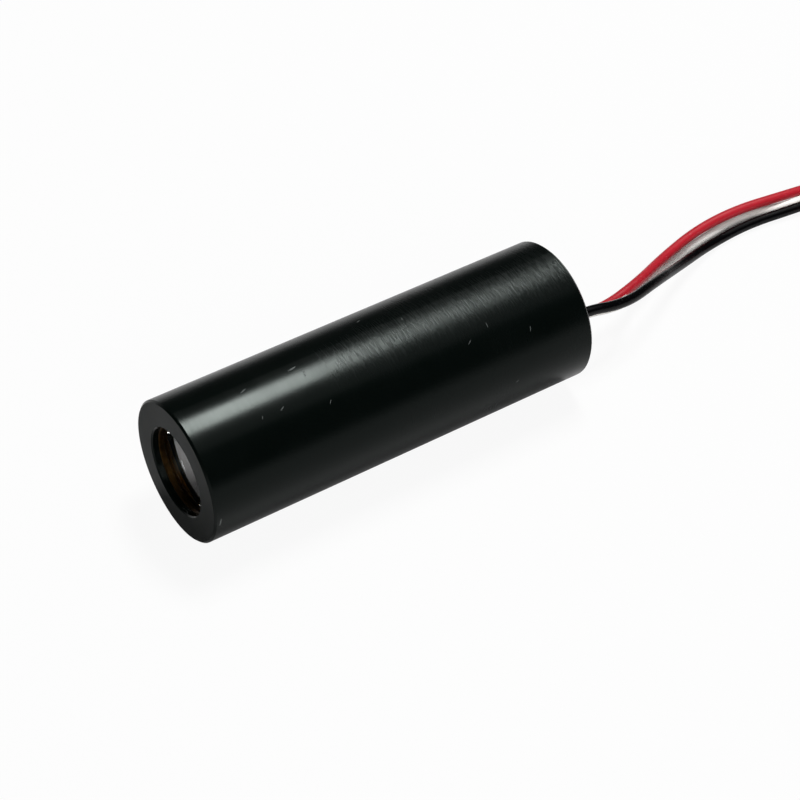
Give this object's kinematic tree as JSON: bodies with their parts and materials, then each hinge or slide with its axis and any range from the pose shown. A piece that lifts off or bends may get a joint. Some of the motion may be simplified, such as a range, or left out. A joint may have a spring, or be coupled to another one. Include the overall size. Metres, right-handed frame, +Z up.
{
  "type": "laser diode module",
  "caption": "Laser diode module in a plain black cylindrical housing, with a recessed lens at the front, a potted rear and thin insulated leads wound into a small coil.",
  "frame": {"origin": "under the middle of the housing, on the surface that it lies on", "axes": "+Z up; the optical axis runs along Y at half the housing's diameter, the beam leaves along -Y and the leads leave along +Y"},
  "size_m": [0.0131, 0.0691, 0.01],
  "materials": {
    "black_anodised_aluminium": "satin black anodised, turned",
    "optical_glass": "polished, coated",
    "turned_brass": "turned",
    "spring_steel": "drawn wire",
    "gilt_steel": "gold plated",
    "ceramic": "lapped",
    "semiconductor": "cleaved",
    "window_glass": "polished",
    "sealing_glass": "fused",
    "green_board": "solder mask",
    "chip_case": "moulded",
    "resistor_body": "glazed",
    "capacitor_body": "fired ceramic",
    "capacitor_case": "moulded",
    "solder": "bright",
    "tinned_copper": "tinned strands",
    "black_epoxy": "cast",
    "red_insulation": "extruded vinyl",
    "white_insulation": "extruded vinyl",
    "black_insulation": "extruded vinyl",
    "black_tie": "moulded"
  },
  "bodies": {
    "root": {"housing": "black_anodised_aluminium", "lens": "optical_glass", "lens_cell": "turned_brass", "lens_ring": "turned_brass", "focus_spring": "spring_steel", "diode_holder": "turned_brass", "diode_clamp_ring": "turned_brass", "diode_stem": "gilt_steel", "diode_submount": "ceramic", "laser_chip": "semiconductor", "monitor_photodiode": "semiconductor", "diode_cap": "gilt_steel", "diode_window": "window_glass", "laser_pin": "gilt_steel", "photodiode_pin": "gilt_steel", "common_pin": "gilt_steel", "pin_beads": "sealing_glass", "driver_board": "green_board", "driver_chip": "chip_case", "pass_transistor": "chip_case", "chip_resistors": "resistor_body", "chip_capacitors": "capacitor_body", "filter_capacitor": "capacitor_case", "pin_solder": "solder", "wire_solder": "solder", "wire_cores": "tinned_copper", "rear_potting": "black_epoxy", "red_wire": "red_insulation", "white_wire": "white_insulation", "black_wire": "black_insulation", "red_coil": "red_insulation", "white_coil": "white_insulation", "black_coil": "black_insulation", "red_tip": "tinned_copper", "white_tip": "tinned_copper", "black_tip": "tinned_copper", "coil_tie": "black_tie"}
  },
  "joints": []
}
